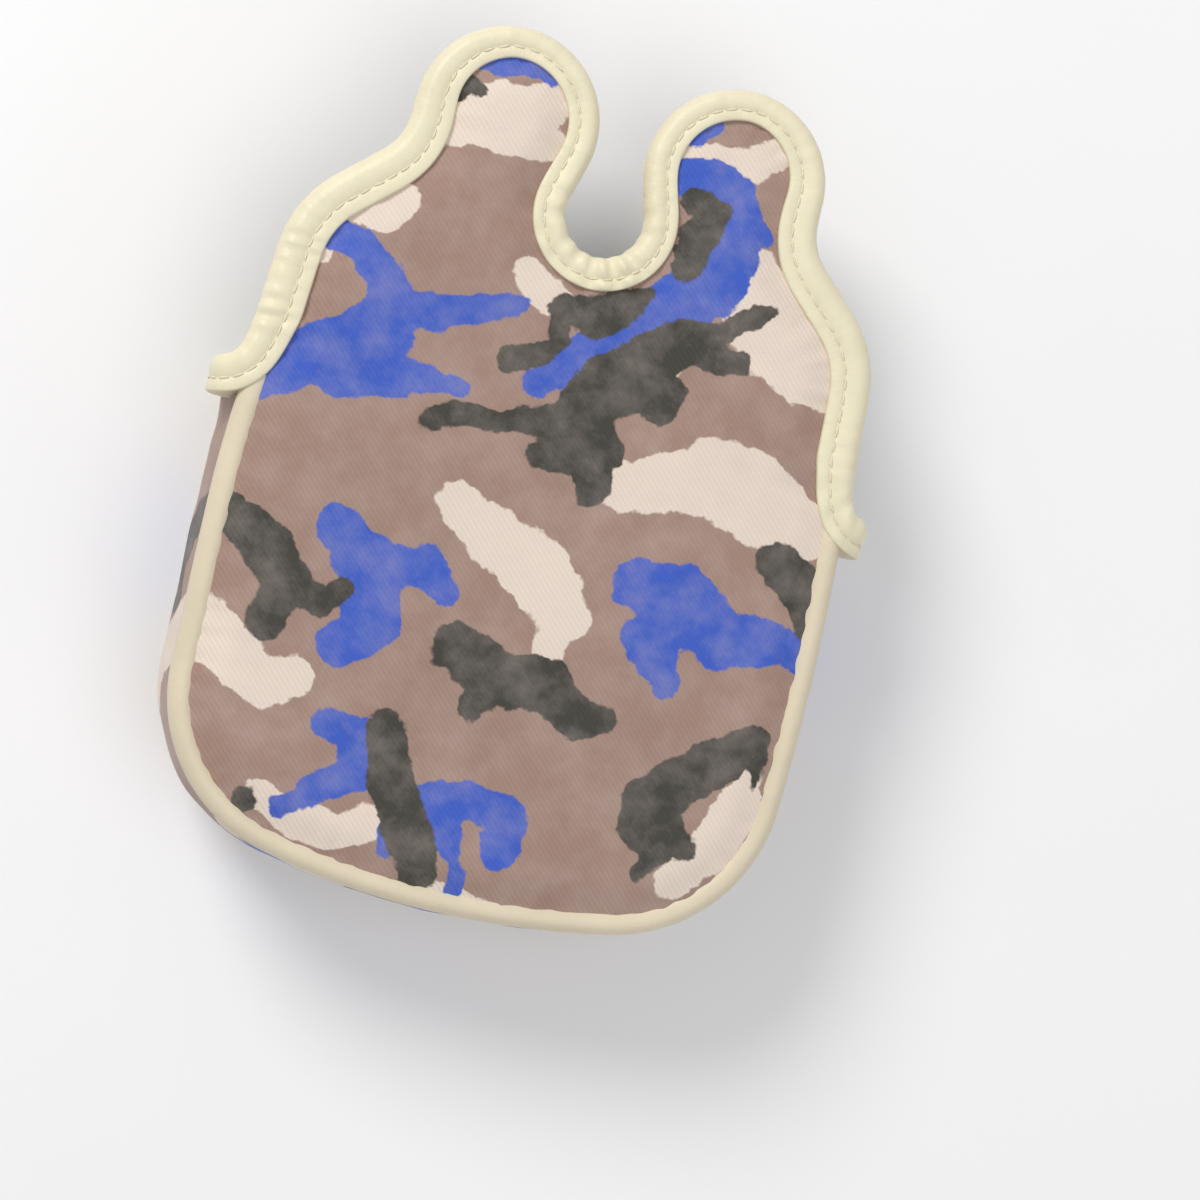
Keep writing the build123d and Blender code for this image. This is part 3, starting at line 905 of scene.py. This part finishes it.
sharp = waves(43, onTape * [1, 0.16], tapeSizes["gatherPitch"], 1).reshape(lengthwise.shape)
loose = np.interp(share, [-0.02, 0.1, 0.35, 0.6, 0.66, 0.85, 1], [0.5, 0.8, 1, 0.35, 0.3, 0.9, 0.4])
joinLength = tapeSizes["joinLength"]
joinFade = smoothstep(0, joinLength, even) * smoothstep(0, joinLength, even[-1] - even)
swell = tapeSizes["wrinkle"] * faint + gather[:, None] * sharp
swell = swell * loose * joinFade[:, None]
lift = height + swell * np.sign(height)
reach = share * widths - 0.4 * swell * (share < 0.1)
tape = places[:, None] + inwards[:, None] * reach[..., None] + faceways[:, None] * lift[..., None]
tape[..., 2] = np.maximum(tape[..., 2], tapeSizes["lowest"])
tapeMap = np.column_stack([crosswise.ravel(), lengthwise.ravel()])
tapePieces = makeLengths(
    {"flap": "mouthTape", "leftProng": "leftProngTape", "rightProng": "rightProngTape"},
    tape.reshape(-1, 3), stripFaces(len(even), len(share)), [bindingTape], tapeMap,
)
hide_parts("mouth_binding", "bridge_left_binding", "bridge_right_binding")
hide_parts("right_prong_binding", "notch_binding")
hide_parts("left_prong_binding")


def makeCurve(name, lines):
    # straight-segment curves through points in millimetres
    curve = bpy.data.curves.new(name, "CURVE")
    curve.dimensions = "3D"
    for line in lines:
        spline = curve.splines.new("POLY")
        spline.points.add(len(line) - 1)
        points = np.column_stack([np.asarray(line) * metre, np.ones(len(line))])
        spline.points.foreach_set("co", points.ravel())
    guide = bpy.data.objects.new(name, curve)
    scene.collection.objects.link(guide)
    return guide


def newTree(name, inputs):
    tree = bpy.data.node_groups.new(name, "GeometryNodeTree")
    tree.interface.new_socket("Geometry", in_out="INPUT", socket_type="NodeSocketGeometry")
    for label, value in inputs.items():
        kind = "NodeSocketInt" if isinstance(value, int) else "NodeSocketFloat"
        tree.interface.new_socket(label, in_out="INPUT", socket_type=kind).default_value = value
    tree.interface.new_socket("Geometry", in_out="OUTPUT", socket_type="NodeSocketGeometry")
    return tree, tree.nodes.new("NodeGroupInput"), tree.nodes.new("NodeGroupOutput")


def solidFrom(line, tree, values, name):
    # the tree's result as a plain mesh piece; the guide curve goes
    modifier = line.modifiers.new(name, "NODES")
    modifier.node_group = tree
    for item in tree.interface.items_tree:
        if item.in_out == "INPUT" and item.name in values:
            modifier[item.identifier] = values[item.name]
    bpy.context.view_layer.update()
    mesh = bpy.data.meshes.new_from_object(line.evaluated_get(bpy.context.evaluated_depsgraph_get()))
    line.modifiers.remove(modifier)
    bpy.data.objects.remove(line)
    mesh.name = name
    piece = bpy.data.objects.new(name, mesh)
    scene.collection.objects.link(piece)
    return piece


def finishTree(tree, end, geometry, material):
    smooth = addNode(tree, "GeometryNodeSetShadeSmooth", {"Geometry": geometry})
    real = addNode(tree, "GeometryNodeRealizeInstances", {"Geometry": smooth})
    painted = addNode(tree, "GeometryNodeSetMaterial", {"Geometry": real, "Material": material})
    tree.links.new(painted, end.inputs[0])
    return tree


def roundTree(material):
    # a round tube along a curve, its surface a little uneven as turned leather over cord
    values = {"Radius": 0.0027, "Sides": 20, "Unevenness": 0.00012, "Grain": 260.0}
    tree, start, end = newTree("pipingTube", values)
    guide, radius, sides, unevenness, grain = start.outputs[:5]
    circle = addNode(tree, "GeometryNodeCurvePrimitiveCircle", {"Radius": radius, "Resolution": sides})
    inputs = {"Curve": guide, "Profile Curve": circle, "Fill Caps": True}
    tube = addNode(tree, "GeometryNodeCurveToMesh", inputs)
    noise = addNode(tree, "ShaderNodeTexNoise", {"Scale": grain, "Detail": 2.0}, "Fac")
    normal = addNode(tree, "GeometryNodeInputNormal")
    inputs = {0: normal, "Scale": aboutMiddle(tree, noise, 0.5, unevenness)}
    push = addNode(tree, "ShaderNodeVectorMath", inputs, operation="SCALE")
    moved = addNode(tree, "GeometryNodeSetPosition", {"Geometry": tube, "Offset": push})
    return finishTree(tree, end, moved, material)


def stitchTree(material):
    # short threads laid along a curve, each turned a touch
    values = {"Pitch": 0.003, "Length": 0.0023, "Thread": 0.00048, "Turn": 0.12, "Seed": 4}
    tree, start, end = newTree("stitchRow", values)
    guide, pitch, length, thickness, turn, seed = start.outputs[:6]
    points = addNode(tree, "GeometryNodeCurveToPoints", {"Curve": guide, "Length": pitch}, mode="LENGTH")
    ball = addNode(tree, "GeometryNodeMeshIcoSphere", {"Radius": 0.5, "Subdivisions": 3})
    size = addNode(tree, "ShaderNodeCombineXYZ", {0: thickness, 1: thickness, 2: length})
    thin = addNode(tree, "GeometryNodeTransform", {"Geometry": ball, "Scale": size})
    low = times(tree, turn, -1.0)
    lows = addNode(tree, "ShaderNodeCombineXYZ", {i: low for i in range(3)})
    highs = addNode(tree, "ShaderNodeCombineXYZ", {i: turn for i in range(3)})
    inputs = {"Seed": seed, 0: lows, 1: highs}
    chance = addNode(tree, "FunctionNodeRandomValue", inputs, data_type="FLOAT_VECTOR")
    inputs = {"Points": points, "Instance": thin, "Rotation": points.node.outputs["Rotation"]}
    laid = addNode(tree, "GeometryNodeInstanceOnPoints", inputs)
    turned = addNode(tree, "GeometryNodeRotateInstances", {"Instances": laid, "Rotation": chance})
    return finishTree(tree, end, turned, material)


print("rolling the piping")
pipingSizes = {"radius": 2.7, "inset": 2.75, "unevenness": 0.16, "height": 3.0, "mouthGap": 1.5, "step": 1.2}
pipingRing = pouchLine[pouchLine[:, 1] < mouthY - pipingSizes["mouthGap"]]
pipingRing = pipingRing - leftNormals(pipingRing) * pipingSizes["inset"]
pipingRing = resample(pipingRing, pipingSizes["step"])
tubeTree = roundTree(pipingLeather)
tubeValues = {"Radius": pipingSizes["radius"] * metre, "Unevenness": pipingSizes["unevenness"] * metre}
for panel, height in (("sole", top - pipingSizes["height"]), ("crown", pipingSizes["height"])):
    line = makeCurve(panel + "PipingLine", [np.column_stack([pipingRing, np.full(len(pipingRing), height)])])
    tube = solidFrom(line, tubeTree, tubeValues, panel + "Piping")
    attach(tube, "pouch")
    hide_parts(panel + "_piping", panel + "_piping_cord")

print("sewing the tape")
stitchSizes = {"pitch": 3.0, "length": 2.3, "thread": 0.5, "sunk": 0.08, "lowest": 0.35, "shortest": 4}
rowTree = stitchTree(thread)


def rowValues(sizes):
    return {label: sizes[label.lower()] * metre for label in ("Pitch", "Length", "Thread")}


def runsOf(chosen, line):
    # the separate runs of a line where chosen holds, apart from those of a few points
    edges = np.flatnonzero(np.diff(np.concatenate([[0], chosen, [0]])))
    runs = [line[start:end] for start, end in edges.reshape(-1, 2)]
    return [points for points in runs if len(points) >= stitchSizes["shortest"]]


inGroove = np.flatnonzero(share == tapeSizes["groove"])
seamLift = grooveHeight + stitchSizes["thread"] / 2 - stitchSizes["sunk"]
seamLift = seamLift + swell[:, inGroove]  # the threads follow the creases of the tape
alongGroove = places + inwards * tapeSizes["groove"] * widths
seams = [alongGroove + faceways * seamLift[:, :1], alongGroove - faceways * seamLift[:, 1:]]
for seam in seams:
    seam[:, 2] = np.maximum(seam[:, 2], stitchSizes["lowest"])
for length, piece in (("flap", "mouth"), ("leftProng", "leftProng"), ("rightProng", "rightProng")):
    lines = [points for seam in seams for points in runsOf(lengthsOf(seam)[length], seam)]
    row = solidFrom(makeCurve(piece + "StitchLine", lines), rowTree, rowValues(stitchSizes), piece + "Stitches")
    bend(row)

print("finishing the hook and loop pads")
padStitches = {"inset": 1.2, "lift": 0.1, "pitch": 2.6, "length": 1.9, "thread": 0.4, "seed": 9}
for side in ("left", "right"):
    for node, material, slot, body in (
        (f"{side}_prong_hook_pad", hookTape, "hook_tape", f"{side}_prong"),
        (f"{side}_loop_pad", loopTape, "loop_tape", "pouch"),
    ):
        pad = frame["nodes"][node]
        pad.data.materials.clear()
        pad.data.materials.append(material)
        low, high = boxOf(node)
        (x1, y1), (x2, y2) = low[:2] + padStitches["inset"], high[:2] - padStitches["inset"]
        z = low[2] + padStitches["lift"]
        line = makeCurve(node + "Line", [[(x1, y1, z), (x2, y1, z), (x2, y2, z), (x1, y2, z), (x1, y1, z)]])
        values = {**rowValues(padStitches), "Seed": padStitches["seed"]}
        row = solidFrom(line, rowTree, values, node + "_stitches")
        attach(row, body)

print("lighting the table")
roomSizes = {"floor": 3, "light": 0.42}  # in metres, and the strength of the light from all round
lamps = {
    "window": {"place": (-0.75, 0.75, 0.95), "size": 0.6, "power": 12.0, "colour": (1, 0.985, 0.955)},
    "ceiling": {"place": (0.3, -0.2, 1.5), "size": 1.2, "power": 6.0, "colour": (1, 1, 1)},
    "fill": {"place": (1.0, -0.8, 0.6), "size": 1.0, "power": 2.0, "colour": (0.95, 0.97, 1)},
}


def floorMaterial():
    material, tree, shader = newMaterial("paleFloor", 0.85, 0.2)
    tone = noiseNode(tree, objectPlace(tree), 6.0, 3.0)
    colour = mixColours(tree, tone, srgb(238, 238, 240), srgb(246, 246, 247))
    finishMaterial(tree, shader, colour, tone, 0.05, 0.0002)
    return material


def addLamp(name, place, size, power, colour):
    light = bpy.data.lights.new(name, "AREA")
    light.shape = "DISK"
    light.size = size
    light.energy = power
    light.color = colour
    lamp = bpy.data.objects.new(name, light)
    lamp.location = place
    lamp.rotation_euler = (Vector((0, 0, 0.03)) - Vector(place)).to_track_quat("-Z", "Y").to_euler()
    scene.collection.objects.link(lamp)


bm = bmesh.new()
bmesh.ops.create_grid(bm, x_segments=2, y_segments=2, size=roomSizes["floor"])
floorMesh = bpy.data.meshes.new("floor")
bm.to_mesh(floorMesh)
bm.free()
floorMesh.materials.append(floorMaterial())
floor = bpy.data.objects.new("floor", floorMesh)
scene.collection.objects.link(floor)
for name, lamp in lamps.items():
    addLamp(name, **lamp)
world = bpy.data.worlds.new("room")
world.use_nodes = True
background = world.node_tree.nodes["Background"]
background.inputs[0].default_value = (1, 1, 1, 1)
background.inputs[1].default_value = roomSizes["light"]
scene.world = world
scene.view_settings.view_transform = "Standard"

cameraSizes = {"distance": 650, "lean": 8, "turn": 14.5, "aim": (17.9, -18.9, top), "seen": 240, "sensor": 36}
lean, turn = radians(cameraSizes["lean"]), radians(cameraSizes["turn"])
away = Vector((-sin(lean), 0, cos(lean)))
upward = Vector((-sin(turn), cos(turn), 0))
upward = (upward - away * upward.dot(away)).normalized()
axes = Matrix((upward.cross(away), upward, away)).transposed().to_4x4()
place = (Vector(cameraSizes["aim"]) + away * cameraSizes["distance"]) * metre
camera = bpy.data.objects.new("camera", bpy.data.cameras.new("camera"))
camera.matrix_world = Matrix.Translation(place) @ axes
camera.data.sensor_width = cameraSizes["sensor"]
camera.data.lens = cameraSizes["sensor"] * cameraSizes["distance"] / cameraSizes["seen"]
scene.collection.objects.link(camera)
scene.camera = camera

bpy.context.view_layer.update()
print("the cover is ready")
